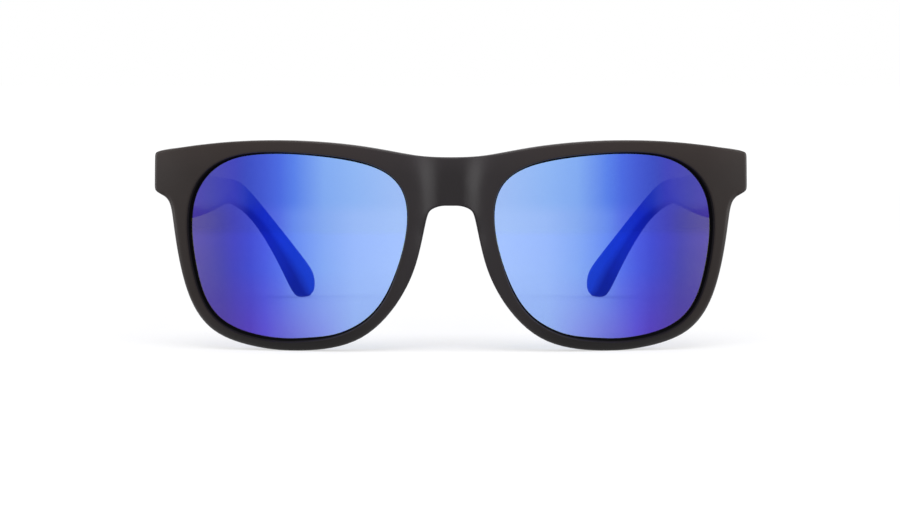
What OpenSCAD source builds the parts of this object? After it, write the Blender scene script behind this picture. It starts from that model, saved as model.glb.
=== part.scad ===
// Mountain sunglasses: a moulded full-rim front with two snap-in mirror lenses and
// two folding temples on five-knuckle metal hinges.
// They stand as on a table, on the rims and the temple tips. +X is the wearer's left,
// -Y is ahead of the wearer, +Z is up, and the origin is the middle of the footprint.

/* [Front] */
// Width over the two endpieces
front_w = 145.2; // [130:0.2:160]
// Height of each lens opening
lens_h = 46.4; // [40:0.2:52]
// Distance between the two lens openings
bridge_gap = 21; // [18:0.2:24]
// Width of the rim above the lens
rim_top = 2.8; // [2:0.1:5]
// Width of the rim below the lens
rim_low = 2.2; // [1.6:0.1:4]
// Width of the rim on the temple side
rim_out = 3.6; // [3:0.1:4.2]
// Width of the rim beside the nose
rim_nose = 4.2; // [3:0.1:5]
// Height of the bridge at its middle
bridge_h = 11.5; // [8:0.1:16]
// How far the top of the bridge lies below the lens openings' top
brow_dip = 1.4; // [0:0.1:4]
// Thickness of the front from face to back
front_t = 4.4; // [3.9:0.1:5.4]
// Radius of the face of each half, which also sets the curve of the lens
face_r = 131; // [115:1:160]
// Distance from the middle to the highest point of each half's face
face_x = 20.5; // [16:0.5:26]
// Radius of the hollow down the front of the bridge
hollow_r = 24; // [16:0.5:40]
// Depth of that hollow behind the foremost point
hollow_deep = 3.3; // [2.8:0.1:3.8]
// How far each moulded nose pad stands behind the face
pad_deep = 9.2; // [7.5:0.1:12]
// Radius of the back of each nose pad
pad_r = 14; // [12:0.5:18]

/* [Endpieces] */
// Height of the endpiece where it meets the temple
endpiece_h = 10; // [9:0.1:12]
// Plastic left between the screws of the front leaf and the lens groove
screw_wall = 0.4; // [0.3:0.05:1]
// Thickness of the endpiece and temple at their joint
joint_t = 4.6; // [4.1:0.1:5.1]

/* [Lenses] */
// Thickness of the lens
lens_t = 1.9; // [1.6:0.1:2.2]
// Depth from the face of the rim to the lens
lens_recess = 1.4; // [1:0.1:1.6]
// Depth of the groove that holds the edge of the lens
groove_deep = 1; // [0.6:0.1:1.2]

/* [Hinges] */
// Diameter of the knuckles
knuckle_d = 2.8; // [2.4:0.1:3.1]
// Height of one of the five knuckles
knuckle_h = 1.36; // [1.2:0.02:1.5]
// Distance from the middle of the endpiece down to the middle of the knuckles
hinge_drop = 0.5; // [0:0.1:1]
// Thickness of both hinge leaves
leaf_t = 1.1; // [0.8:0.05:1.25]
// Distance from the leaf on the endpiece back to its knuckles
leaf_back = 0.5; // [0.4:0.1:1.2]
// Width of the web from that leaf to each knuckle
web_w = 2; // [1.6:0.1:2.2]
// Width of the leaf on the endpiece
front_leaf_w = 5.3; // [4.7:0.1:6]
// How far that leaf laps over the side of the lens opening, above its corner
leaf_lap = 1.9; // [1.6:0.1:2.1]
// Length of the leaf on the temple
temple_leaf_l = 9; // [8:0.5:12]
// Height of that leaf at its far end
leaf_end_h = 4.4; // [3.6:0.2:5]
// How far that leaf drops by its far end
leaf_drop = 0.8; // [0.4:0.1:1.2]
// Diameter of the pivot screw
pivot_d = 1.4; // [1.2:0.1:1.6]
// Diameter of the pivot screw's head
pivot_head_d = 2.4; // [2:0.1:2.7]
// Diameter of the small fixing screws
screw_d = 1.1; // [0.9:0.1:1.3]
// Diameter of their heads
screw_head_d = 2; // [1.8:0.1:2.2]
// Height of every screw head
screw_head_h = 0.5; // [0.4:0.05:0.6]
// Length of the fixing screws in the plastic
screw_l = 2; // [1.6:0.1:2.4]
// Distance from the edge of a leaf to the head of a screw
screw_edge = 0.3; // [0.2:0.1:0.5]
// Width of the pivot screw's slot
slot_w = 0.4; // [0.3:0.05:0.6]

/* [Temples] */
// Thickness of the temple along its side
temple_t = 3.7; // [3.3:0.1:4.4]
// Thickness of the temple tip
tip_t = 3.2; // [2.8:0.1:4]
// Length from the joint to the bend over the ear
side_l = 86; // [77:0.5:96]
// Fall of the upper edge from the brow line to the bend
side_fall = 11.8; // [9:0.2:13]
// Depth of the lower edge below the brow line
side_low = 19.3; // [17.3:0.1:21.6]
// How far the side leans in towards the head by the bend
side_lean = 7.7; // [5:0.1:9]
// Length of the tip behind the bend, along the footprint
tip_l = 35.5; // [31.5:0.5:40]
// How far the tip leans in past the bend
tip_lean = 20; // [16:0.5:22]
// Diameter of the metal core wire
core_d = 1.4; // [1:0.1:1.6]
// Thickness of its flat end
core_flat_t = 0.6; // [0.5:0.05:0.8]
// Width of its flat end
core_flat_w = 3; // [2.6:0.1:3.4]
// Length of its flat end
core_flat_l = 4.5; // [4:0.1:5]

/* [Fits] */
// Gap round the edge of each lens
lens_gap = 0.1; // [0.05:0.05:0.2]
// Gap on each face of the lens in its groove
lens_slack = 0.05; // [0.02:0.01:0.1]
// Radial clearance of the pivot screw in the moving knuckles
pivot_gap = 0.05; // [0.03:0.01:0.08]
// Gap between neighbouring knuckles
knuckle_gap = 0.05; // [0.04:0.01:0.1]
// Gap between the endpiece and the open temple
joint_gap = 0.1; // [0.08:0.02:0.2]
// Gap between the knuckles and the inner side of the joint
knuckle_side = 0.2; // [0.1:0.05:0.4]
// Gap between the leaf on the endpiece and the inner side of the joint
leaf_side = 0.3; // [0.2:0.05:0.4]
// Length of the flat inside the temple, which the front's knuckles turn beside
relief_l = 2.4; // [2:0.1:3]
// Gap round the core wire
core_gap = 0.05; // [0.03:0.01:0.1]

/* [Hidden] */

eye_x = bridge_gap / 2;              // nose side of a lens opening
eye_z = rim_low;                     // bottom of a lens opening
brow_z = eye_z + lens_h;             // top of a lens opening
mid_z = eye_z + lens_h / 2;
end_x = front_w / 2;
joint_x = end_x - joint_t;           // inner side of the joint face
leaf_x = joint_x - leaf_side - front_leaf_w;       // nose side of the front leaf
lens_w = leaf_x + leaf_lap - eye_x;  // width of a lens opening
hinge_x = joint_x - knuckle_d / 2 - knuckle_side;
hinge_z = brow_z - endpiece_h / 2 - hinge_drop;    // middle of the knuckles
front_knuckles = [0, 2, 4];
temple_knuckles = [1, 3];
knuckles = len(front_knuckles) + len(temple_knuckles);
knuckle_step = knuckle_h + knuckle_gap;
hinge_h = knuckles * knuckle_step - knuckle_gap;
screw_x = leaf_x + screw_edge + screw_head_d / 2;
screw_rise = hinge_h / 4;
groove_back = lens_recess + lens_t + 2 * lens_slack;
// The plane that the front leaf lies on, from which the place of the joint follows
seat_y = layer_y(groove_back, screw_x, hinge_z + screw_rise)
    + screw_wall + screw_l + joint_gap;
joint_y = seat_y + leaf_t + leaf_back + knuckle_d / 2;
hinge_y = joint_y;
leaf_start = knuckle_d / 2 + joint_gap;            // from the pivot to the temple leaf
bend_y = joint_y + side_l;
bend_z = brow_z - side_fall;         // upper edge at the bend
fore_y = 0.3;                        // foremost point of the rims
home_y = (fore_y + bend_y + tip_l) / 2;            // middle of the footprint
curve_steps = 5;
far = 200;

// How far back a layer under the face lies at one place
function layer_y(below, x, z) =
    face_r - sqrt((face_r - below) ^ 2 - (x - face_x) ^ 2 - (z - mid_z) ^ 2);

// A corner of the lens shape: u across from the nose side, v up from the bottom,
// both as shares of the opening, then a shift in millimetres.
function eye(u, v, dx = 0, dz = 0) = [eye_x + u * lens_w + dx, eye_z + v * lens_h + dz];

LENS_CORNERS = [
    eye(-0.05, 0.77), eye(0.13, 0.96), eye(0.48, 1.0), eye(0.82, 1.01), eye(1.03, 0.8),
    eye(0.99, 0.34), eye(0.89, 0.05), eye(0.54, -0.03), eye(0.21, 0.06), eye(0.06, 0.28)
];

// A corner of the endpiece, out from its end and up from the lens openings' top, both as
// shares of its height
function end(u, v) = [end_x + u * endpiece_h, brow_z + v * endpiece_h];

// Corners of the left half of the front, from the top of the bridge out and round to
// its underside
arch_z = brow_z - brow_dip - bridge_h;
HALF_CORNERS = [
    [0, brow_z - brow_dip], [0.76 * eye_x, brow_z - 0.8 * brow_dip],
    eye(0.18, 1, 0, 0.46 * rim_top), eye(0.5, 1, 0, 1.07 * rim_top),
    eye(0.84, 1, 0, 0.86 * rim_top),
    end(-0.25, 0.03), end(0, -0.01), end(0, -0.15), end(0, -0.85), end(0, -0.98),
    end(-0.34, -1.1),
    eye(0.99, 0.68, 1.25 * rim_out), eye(0.99, 0.5, rim_out), eye(0.95, 0.22, 0.89 * rim_out),
    eye(0.88, 0.06, 0.33 * rim_out, -0.55 * rim_low), eye(0.68, 0, 0, -0.86 * rim_low),
    eye(0.5, 0, 0, -1.18 * rim_low), eye(0.21, 0.06, -0.57 * rim_nose, -1.05 * rim_low),
    eye(0.06, 0.28, -0.86 * rim_nose), eye(0, 0.5, -0.74 * rim_nose),
    [eye_x - 1.02 * rim_nose, arch_z - 0.17 * bridge_h],
    [eye_x - 1.33 * rim_nose, arch_z - 0.03 * bridge_h],
    [0.17 * eye_x, arch_z + 0.02 * bridge_h], [0, arch_z]
];

// Corners of the temple seen from the side, as [y, z]. Up to the bend they are shares of
// the side's length and of its edge's fall, and behind it shares of the tip's length and
// of its height over the ground. Each upper corner has its partner in the lower list.
function on_side(corners, fall) =
    [for (c = corners) [joint_y + c.x * side_l, brow_z - c.y * fall]];

function on_tip(corners) =
    [for (c = corners) [bend_y + c.x * tip_l, c.y * bend_z]];

UPPER_EDGE = concat(
    on_side([
        [-0.12, -0.05], [0.01, 0.08], [0.13, 0.27], [0.26, 0.46],
        [0.44, 0.63], [0.65, 0.79], [0.86, 0.93], [1, 1]
    ], side_fall),
    on_tip([[0.15, 0.95], [0.38, 0.74], [0.65, 0.5], [0.88, 0.29], [1.02, 0.16], [0.99, 0.02]])
);
LOWER_EDGE = concat(
    on_side([
        [-0.12, 0.48], [0.01, 0.49], [0.1, 0.56], [0.2, 0.95],
        [0.37, 1], [0.63, 1], [0.84, 1], [0.95, 1.01]
    ], side_low),
    on_tip([[0.07, 0.78], [0.28, 0.69], [0.48, 0.49], [0.68, 0.21], [0.79, 0.03], [0.9, -0.01]])
);
// Thickness a share of the way from the joint's to the temple's
function thinned(share) = joint_t + share * (temple_t - joint_t);

// Corners of the temple's middle seen from above, with its thickness there as z: shares
// of the side's length and lean, then of the tip's. The last one lies past the tip.
TEMPLE_MID = concat(
    [for (c = [
        [-0.12, 0, joint_t], [0.01, 0, joint_t], [0.12, 0.11, thinned(0.22)],
        [0.23, 0.25, thinned(0.67)], [0.4, 0.43, temple_t], [0.64, 0.63, temple_t],
        [0.85, 0.83, temple_t], [0.97, 0.97, 0.6 * temple_t + 0.4 * tip_t]
    ]) [end_x - joint_t / 2 - c.y * side_lean, joint_y + c.x * side_l, c.z]],
    [for (c = [
        [0.12, 0.1, tip_t], [0.33, 0.33, tip_t], [0.57, 0.59, tip_t], [0.8, 0.84, tip_t],
        [1, 1.06, tip_t], [1.2, 1.28, tip_t]
    ]) [end_x - joint_t / 2 - side_lean - c.y * tip_lean, bend_y + c.x * tip_l, c.z]]
);

// One point of a uniform cubic curve that four corners pull on
function curve_point(a, b, c, d, t) =
    ((1 - t) ^ 3 * a + (3 * t ^ 3 - 6 * t ^ 2 + 4) * b
    + (-3 * t ^ 3 + 3 * t ^ 2 + 3 * t + 1) * c + t ^ 3 * d) / 6;

function closed_curve(corners) =
    let (n = len(corners))
    [for (i = [0:n - 1], s = [0:curve_steps - 1])
        curve_point(corners[i], corners[(i + 1) % n], corners[(i + 2) % n],
            corners[(i + 3) % n], s / curve_steps)];

function across(v) = [v.y, -v.x] / norm(v);

// Each point of a closed outline moved out by the same distance
function grown(points, distance) =
    let (n = len(points))
    [for (i = [0:n - 1])
        points[i] - distance * across(points[(i + 1) % n] - points[(i + n - 1) % n])];

function reversed(list) = [for (i = [len(list) - 1:-1:0]) list[i]];

function mirrored(points) = [for (p = points) [-p.x, p.y]];

function inner_corners(points) = [for (i = [1:len(points) - 2]) points[i]];

function mix(a, b, share) = a + share * (b - a);

// One side of the temple seen from above
function temple_edge(side) =
    let (last = len(TEMPLE_MID) - 1)
    [for (i = [0:last])
        let (run = TEMPLE_MID[min(i + 1, last)] - TEMPLE_MID[max(i - 1, 0)])
        [TEMPLE_MID[i].x, TEMPLE_MID[i].y] + side * TEMPLE_MID[i].z / 2 * across([run.x, run.y])];

module home() {
    translate([0, -home_y, 0]) children();
}

module both_sides() {
    children();
    mirror([1, 0, 0]) children();
}

// A flat outline in x and z run back from y = 0
module run_back(depth) {
    translate([0, depth, 0]) rotate([90, 0, 0]) linear_extrude(depth) children();
}

// The two balls whose joined surface is the face, or a layer below it
module face_ball(below = 0) {
    both_sides() translate([face_x, face_r, mid_z]) sphere(face_r - below, $fn = 200);
}

module lens_shape(grow = 0) {
    polygon(grown(closed_curve(LENS_CORNERS), grow));
}

module front_shape() {
    polygon(closed_curve(concat(HALF_CORNERS, reversed(mirrored(inner_corners(HALF_CORNERS))))));
}

// Part of the front's outline that lies beyond one distance from the middle and above
// one height
module front_band(from_x, from_z, width = far) {
    intersection() {
        front_shape();
        translate([from_x, from_z]) square([width, far]);
    }
}

// Upright cylinder about the hinge axis, from one height to another
module about_pivot(d, from_z, to_z, sides = 40) {
    translate([hinge_x, hinge_y, from_z]) cylinder(h = to_z - from_z, d = d, $fn = sides);
}

function knuckle_z(i) = hinge_z - hinge_h / 2 + i * knuckle_step;

// The leaf on the temple, which narrows and drops with the temple's own slope
module temple_leaf(gap = 0) {
    start_y = hinge_y + leaf_start;
    end_y = start_y + temple_leaf_l + gap;
    end_z = hinge_z - leaf_drop;
    rotate([90, 0, 90]) linear_extrude(joint_x) polygon([
        [start_y, hinge_z - hinge_h / 2 - gap], [end_y, end_z - leaf_end_h / 2 - gap],
        [end_y, end_z + leaf_end_h / 2 + gap], [start_y, hinge_z + hinge_h / 2 + gap]
    ]);
}

module front_screw_places() {
    for (side = [-1, 1])
        translate([screw_x, seat_y, hinge_z + side * screw_rise])
            rotate([-90, 0, 0]) children();
}

module temple_screw_places() {
    for (along = [0.31, 0.79])
        translate([
            joint_x, hinge_y + leaf_start + along * temple_leaf_l, hinge_z - along * leaf_drop
        ])
            rotate([0, -90, 0]) children();
}

// A fixing screw through a leaf, whose seat is at z = 0 and whose head is up
module fixing_screw() {
    translate([0, 0, -screw_l]) cylinder(h = screw_l + leaf_t, d = screw_d, $fn = 24);
    difference() {
        translate([0, 0, leaf_t]) cylinder(h = screw_head_h, d = screw_head_d, $fn = 32);
        for (turn = [0, 90]) rotate(turn)
            translate([0, 0, leaf_t + screw_head_h])
                cube([screw_head_d * 0.6, slot_w * 0.6, screw_head_h], center = true);
    }
}

module fixing_hole(depth) {
    translate([0, 0, -depth]) cylinder(h = depth + 2 * leaf_t, d = screw_d, $fn = 24);
}

module endpiece_back() {
    intersection() {
        union() {
            run_back(seat_y) front_band(leaf_x - 2 * joint_gap, brow_z - 0.97 * endpiece_h);
            run_back(joint_y) front_band(joint_x, brow_z - 1.2 * endpiece_h);
        }
        face_ball();
    }
}

// Pad on the back of the rim beside the nose
module nose_pad() {
    intersection() {
        run_back(pad_deep) front_band(0, 0, eye_x + 0.28 * lens_w);
        translate([eye_x, pad_deep - pad_r, mid_z]) sphere(pad_r, $fn = 96);
        translate([0, face_r, 0]) cube([far, 2 * (face_r - front_t / 2), far], center = true);
    }
}

module front_frame() {
    color("#3b3734") home() difference() {
        union() {
            difference() {
                intersection() {
                    run_back(joint_y) front_shape();
                    face_ball();
                }
                face_ball(front_t);
            }
            both_sides() endpiece_back();
            both_sides() nose_pad();
        }
        translate([0, hollow_deep - hollow_r, 0]) cylinder(h = far, r = hollow_r, $fn = 160);
        both_sides() {
            run_back(far) lens_shape();
            difference() {
                intersection() {
                    run_back(far) lens_shape(groove_deep);
                    face_ball(lens_recess);
                }
                face_ball(groove_back);
            }
            translate([leaf_x - joint_gap, seat_y, hinge_z - hinge_h / 2 - joint_gap])
                cube([joint_x - leaf_x + joint_gap, far, hinge_h + 2 * screw_head_h]);
            front_screw_places() fixing_hole(screw_l + joint_gap);
        }
    }
}

module lens() {
    color("#5a63d8") home() difference() {
        intersection() {
            run_back(far / 4) lens_shape(groove_deep - lens_gap);
            face_ball(lens_recess + lens_slack);
        }
        face_ball(lens_recess + lens_slack + lens_t);
    }
}

module front_hinge() {
    color("#a9abb0") home() difference() {
        union() {
            translate([leaf_x, seat_y, hinge_z - hinge_h / 2])
                cube([front_leaf_w, leaf_t, hinge_h]);
            for (i = front_knuckles) {
                about_pivot(knuckle_d, knuckle_z(i), knuckle_z(i) + knuckle_h);
                translate([hinge_x + knuckle_d / 2 - web_w, seat_y, knuckle_z(i)])
                    cube([web_w, hinge_y - seat_y, knuckle_h]);
            }
        }
        about_pivot(pivot_d, hinge_z - hinge_h, hinge_z + hinge_h, 32);
        front_screw_places() fixing_hole(screw_l);
    }
}

module temple_hinge() {
    color("#a9abb0") home() difference() {
        union() {
            difference() {
                temple_leaf();
                cube([joint_x - leaf_t, far, far]);
            }
            for (i = temple_knuckles) {
                about_pivot(knuckle_d, knuckle_z(i), knuckle_z(i) + knuckle_h);
                translate([hinge_x + knuckle_d / 2 - leaf_t, hinge_y, knuckle_z(i)])
                    cube([leaf_t, leaf_start + joint_gap, knuckle_h]);
            }
        }
        about_pivot(pivot_d + 2 * pivot_gap, hinge_z - hinge_h, hinge_z + hinge_h, 32);
        temple_screw_places() fixing_hole(screw_l);
    }
}

module pivot_screw() {
    top_z = hinge_z + hinge_h / 2;
    color("#b9bbbf") home() {
        about_pivot(pivot_d, top_z - hinge_h, top_z, 32);
        difference() {
            about_pivot(pivot_head_d, top_z, top_z + screw_head_h);
            translate([hinge_x, hinge_y, top_z + screw_head_h])
                cube([2 * pivot_head_d, slot_w, screw_head_h], center = true);
        }
    }
}

// The core wire's shape, larger by the gap when it is cut out of the temple. Its flat
// end lies under the leaf, and the rear screw of the leaf holds it. It is upset a little
// thicker at its two bends.
module core_path(gap = 0) {
    r = core_d / 2 + gap;
    flat_end = hinge_y + leaf_start + temple_leaf_l + 0.1 * core_flat_l;
    start = [joint_x + 0.64 * core_d, flat_end - core_flat_l / 2, hinge_z - 1.4 * leaf_drop];
    side_end = [
        mix(TEMPLE_MID[7].x, TEMPLE_MID[8].x, 0.29), bend_y + 0.03 * tip_l,
        bend_z - 0.64 * (side_low - side_fall)
    ];
    neck = [
        mix(TEMPLE_MID[8].x, TEMPLE_MID[9].x, 0.43), bend_y + 0.23 * tip_l, 0.785 * bend_z
    ];
    tip = [
        mix(TEMPLE_MID[10].x, TEMPLE_MID[11].x, 0.62), bend_y + 0.68 * tip_l, 0.36 * bend_z
    ];
    translate([
        joint_x, flat_end - core_flat_l - gap,
        hinge_z - 0.79 * leaf_drop - core_flat_w / 2 - gap
    ])
        cube([core_flat_t + gap, core_flat_l + 2 * gap, core_flat_w + 2 * gap]);
    wire(start, side_end, r);
    wire(side_end, neck, r);
    wire(neck, tip, r);
    for (bend = [side_end, neck])
        translate(bend) sphere(r + 0.04 * core_d, $fn = 32);
}

module wire(from, to, r) {
    run = to - from;
    translate(from) rotate([0, acos(run.z / norm(run)), atan2(run.y, run.x)])
        cylinder(h = norm(run), r = r, $fn = 32);
}

module temple() {
    color("#3b3734") home() difference() {
        intersection() {
            rotate([90, 0, 90]) linear_extrude(far)
                polygon(closed_curve(concat(UPPER_EDGE, reversed(LOWER_EDGE))));
            linear_extrude(far)
                polygon(closed_curve(concat(temple_edge(1), reversed(temple_edge(-1)))));
            translate([0, joint_y + joint_gap, 0]) cube(far);
        }
        translate([joint_x - far, joint_y, 0]) cube([far, relief_l, far]);
        temple_leaf(joint_gap);
        temple_screw_places() fixing_hole(screw_l + joint_gap);
        core_path(core_gap);
    }
}

module temple_core() {
    color("#c4c6c9") home() difference() {
        core_path();
        temple_screw_places() fixing_hole(screw_l + joint_gap);
    }
}

module fixing_screws() {
    color("#b9bbbf") home() children();
}

module other_side() {
    mirror([1, 0, 0]) children();
}

front_frame();
lens();  // left_lens
other_side() lens();  // right_lens
front_hinge();  // left_front_hinge
other_side() front_hinge();  // right_front_hinge
fixing_screws() front_screw_places() fixing_screw();  // left_front_hinge_screws
other_side() fixing_screws() front_screw_places() fixing_screw();  // right_front_hinge_screws
pivot_screw();  // left_pivot_screw
other_side() pivot_screw();  // right_pivot_screw
temple_hinge();  // left_temple_hinge
other_side() temple_hinge();  // right_temple_hinge
fixing_screws() temple_screw_places() fixing_screw();  // left_temple_hinge_screws
other_side() fixing_screws() temple_screw_places() fixing_screw();  // right_temple_hinge_screws
temple();  // left_temple
other_side() temple();  // right_temple
temple_core();  // left_temple_core
other_side() temple_core();  // right_temple_core
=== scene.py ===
"""Mountain sunglasses on a pale table. The moulded front, the two mirror lenses and the two
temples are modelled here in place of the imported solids. The hinges, the screws and the cores
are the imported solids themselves, and only get their metals here.
Shapes are worked out in millimetres, with y counted backwards from the face of the front,
and become metres as their meshes are made."""

import math

import bmesh
import bpy
import numpy as np
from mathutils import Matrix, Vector
from mathutils.geometry import delaunay_2d_cdt


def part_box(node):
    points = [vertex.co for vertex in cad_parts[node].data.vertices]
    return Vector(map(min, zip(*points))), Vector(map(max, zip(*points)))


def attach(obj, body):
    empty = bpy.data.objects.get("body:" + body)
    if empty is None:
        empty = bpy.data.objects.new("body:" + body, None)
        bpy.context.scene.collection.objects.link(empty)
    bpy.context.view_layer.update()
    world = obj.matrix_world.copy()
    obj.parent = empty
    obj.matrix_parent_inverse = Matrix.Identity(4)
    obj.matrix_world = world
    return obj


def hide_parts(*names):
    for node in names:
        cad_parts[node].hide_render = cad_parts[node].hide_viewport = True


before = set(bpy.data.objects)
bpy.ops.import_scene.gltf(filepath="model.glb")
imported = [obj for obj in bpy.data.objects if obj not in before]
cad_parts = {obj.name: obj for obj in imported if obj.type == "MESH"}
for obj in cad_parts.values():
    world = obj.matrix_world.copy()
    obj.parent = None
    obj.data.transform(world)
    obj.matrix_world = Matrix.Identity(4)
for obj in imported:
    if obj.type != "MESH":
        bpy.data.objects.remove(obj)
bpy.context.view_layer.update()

MM = 0.001
SIDES = {"right": -1, "left": 1}        # the wearer's sides, and the sign of x on each

# ---------------------------------------------------------------- sizes, in millimetres

FRONT_LO, FRONT_HI = (Vector(c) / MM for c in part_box("front_frame"))

FORE_Y = 0.3            # the rims' foremost point, behind the balls' foremost point
HOME_Y = FORE_Y - FRONT_LO.y
END_X = FRONT_HI.x
JOINT_Y = FRONT_HI.y + HOME_Y
JOINT_T = 4.6           # thickness of endpiece and temple at their joint
JOINT_X = END_X - JOINT_T
JOINT_GAP = 0.1         # between endpiece and temple

# On each side of the nose the front is the wall between two balls: the radius of the outer
# one, how far out their middle lies, and the wall's thickness
FACE_R, FACE_X, FRONT_T = 131, 20.5, 4.4
LENS_T = 1.9
LENS_RECESS = 1.4
GROOVE_DEEP = 1.0
BRIDGE_GAP = 21         # between the two lens openings
LENS_H = 46.4
RIM_TOP, RIM_LOW, RIM_OUT, RIM_NOSE = 2.8, 2.2, 3.6, 4.2        # the rim's widths
BRIDGE_H, BROW_DIP = 11.5, 1.4          # the bridge's height, and the brow's dip over it
ARCH_SWELL = 0.35       # how much lower the moulded arch is than the bridge's plain height
ENDPIECE_H = 10
LEAF_X = 62.4           # nose side of the leaf on the endpiece
LEAF_LAP = 1.9          # how far the lens opening goes on beyond that

EYE_X = BRIDGE_GAP / 2
EYE_Z = RIM_LOW
BROW_Z = EYE_Z + LENS_H
MID_Z = EYE_Z + LENS_H / 2
LENS_W = LEAF_X + LEAF_LAP - EYE_X
ARCH_Z = BROW_Z - BROW_DIP - BRIDGE_H - ARCH_SWELL

BRIDGE_EASE = 3.0       # how wide the two balls run into each other at the nose
HOLLOW, HOLLOW_IN, HOLLOW_OUT = 3.6, 0.9, 9.2   # the bridge's hollow: depth, floor and rim
HOLLOW_FLARE = 0.3      # how much wider the hollow is at the brow than at the arch
FLARE_Z = ARCH_Z + 1
BRIDGE_BACK = 2.2       # how far the bridge stands back behind the inner face
PAD_DEEP, PAD_R, PAD_EASE = 9.2, 14, 1.2        # the nose pad: a ball's cap, eased in

# The nose's share of the front fades out between these x and these heights
NOSE_OUT, NOSE_UP = (EYE_X, EYE_X + 5), (ARCH_Z + 3, ARCH_Z + 6)
# How far the rims roll back beside the nose, over which width, and where that fades out
NOSE_ROLL, NOSE_ROLL_W, NOSE_ROLL_UP = 0.9, 3.4, (ARCH_Z - 7, ARCH_Z - 1)
# How far the lower rims roll under, over which width, and where that fades out
LOW_ROLL, LOW_ROLL_W, LOW_ROLL_UP = 0.9, 2.6, (4, 16)

# Radii of the edges: outside, the crisper arch, ends and brow, lens opening, back and joint
EDGE_R, ARCH_R, LIP_R, BACK_R, JOINT_R = 1.0, 0.4, 0.35, 0.8, 0.15
CRISP_OUT, CRISP_UP = (END_X - 2.5, END_X - 1.5), (ARCH_Z + 5, ARCH_Z + 7)

# The inner face's steps: the hinge leaf's seat, and the endpiece's face at the joint. Both
# begin a little before the leaf and the temple do.
SEAT_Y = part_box("left_front_hinge")[0].y / MM + HOME_Y
SEAT_X = LEAF_X - 0.2
SEAT_Z = BROW_Z - 0.97 * ENDPIECE_H
STEP_X = JOINT_X - 0.05
JOINT_Z = BROW_Z - 1.2 * ENDPIECE_H
STEP = 0.4              # how far a step takes to rise

# How far the rim's front edge and the dark lip reach in over the lens, by the way they face,
# anticlockwise from the outer side in steps of 30 degrees
RIM_REACH = (0.12, 0.12, 0.12, 0.12, 0.12, 0.12, 0.1, -0.25, -0.25, 0.12, 0.12, 0.12)
LIP_REACH = (1.2, 1.22, 0.68, 0.5, 0.6, 0.4, 0.15, 0.15, 0.22, 0.95, 1.15, 1.1)
LIP_SHADE = 0.3         # share of the lip that is still half in the light

# Depths behind the face: the lip's foot, the groove's two walls, and the lens in it
LIP_FOOT = LENS_RECESS - 0.12
GROOVE_FORE = LENS_RECESS - 0.02
GROOVE_AFT = LENS_RECESS + LENS_T + 0.15
LENS_IN = LENS_RECESS + 0.05
LENS_PLAY = 0.12        # between the lens's edge and the groove's floor
LENS_BEVEL, BEVEL_SHARE = 0.12, 0.004   # the bevel's depth, and its share of the lens

# The temple and its tip: thickness, length, how far the upper edge falls and how far below
# the brow the lower one is, the lean inwards, and how far from its end the tip rounds off
TEMPLE_T, TIP_T = 3.7, 3.2
SIDE_L, SIDE_FALL, SIDE_LOW, SIDE_LEAN = 86, 11.8, 19.3, 7.7
TIP_L, TIP_LEAN, TIP_ROUND = 35.5, 20, 2.4
BEND_Y = JOINT_Y + SIDE_L
BEND_Z = BROW_Z - SIDE_FALL

# Spacing of the meshes
GRAIN, STEP_GRAIN = 1.15, 0.7
EDGE_RINGS = (0.08, 0.22, 0.42, 0.7, 1.05, 1.5)
MIDDLE_CLEAR = 0.05     # what the rings keep from the middle line, which has its own places
RING_KEEP = 0.97        # share of its depth that a ring's place keeps from both edges
GRID_KEEP, GRID_CLEAR = 0.6, 0.4        # the grid's shares of GRAIN from the rings and line
EXTRA_CLEAR = 0.1       # what the places along the steps keep from both edges
LENS_RINGS = 22
TEMPLE_RINGS, TEMPLE_SIDES = 90, 32
# The rings that crowd together from this share of the temple's length to its end
TEMPLE_LAST, TIP_RINGS, TIP_CROWD = 0.96, (0.2, 0.4, 0.6, 0.8, 0.92), 1.6
WELD, SLIVER = 0.002, 0.001             # points and edges closer than this are merged


# ---------------------------------------------------------------- small tools

def smooth(low, high, value):
    """0 below low, 1 above high, and an even S between them."""
    t = min(max((value - low) / (high - low), 0), 1)
    return t * t * (3 - 2 * t)


def mix(a, b, share):
    return a + (b - a) * share


def row_point(x, y, z):
    """A place in millimetres behind the face, as metres in the row frame."""
    return Vector((x, y - HOME_Y, z)) * MM


def curve(corners, steps, closed=True):
    """A uniform cubic curve that the corners pull on, as a list of points."""
    corners = [Vector(c) for c in corners]
    count = len(corners)
    points = []
    for i in range(count if closed else count - 3):
        a, b, c, d = (corners[(i + k) % count] for k in range(4))
        for s in range(steps):
            t = s / steps
            points.append((
                (1 - t) ** 3 * a + (3 * t ** 3 - 6 * t ** 2 + 4) * b
                + (-3 * t ** 3 + 3 * t ** 2 + 3 * t + 1) * c + t ** 3 * d
            ) / 6)
    if not closed:
        points.append((corners[-3] + 4 * corners[-2] + corners[-1]) / 6)
    return points


def outward(points, closed=True):
    """Unit vectors that point to the left of a run of 2-D points. An open run starts and
    ends on the middle line, and goes on mirrored past it."""
    count = len(points)
    found = []
    for i, p in enumerate(points):
        if closed:
            before, after = points[i - 1], points[(i + 1) % count]
        else:
            before = points[i - 1] if i else Vector((-points[1].x, points[1].y))
            after = points[i + 1] if i < count - 1 else Vector((-points[-2].x, points[-2].y))
        run = (after - before).normalized()
        found.append(Vector((-run.y, run.x)))
    return found


def moved(points, distance, closed=True):
    """A run of 2-D points moved to its left."""
    return [p + n * distance for p, n in zip(points, outward(points, closed))]


def distances(places, line, closed=True):
    """How far each 2-D place lies from a line of points."""
    a = np.array(line)
    b = np.roll(a, -1, axis=0)
    if not closed:
        a, b = a[:-1], b[:-1]
    run = b - a
    length = (run ** 2).sum(1)
    found = []
    for p in np.array(places):
        t = np.clip(((p - a) * run).sum(1) / length, 0, 1)
        found.append(np.sqrt((((a + run * t[:, None]) - p) ** 2).sum(1).min()))
    return found


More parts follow.
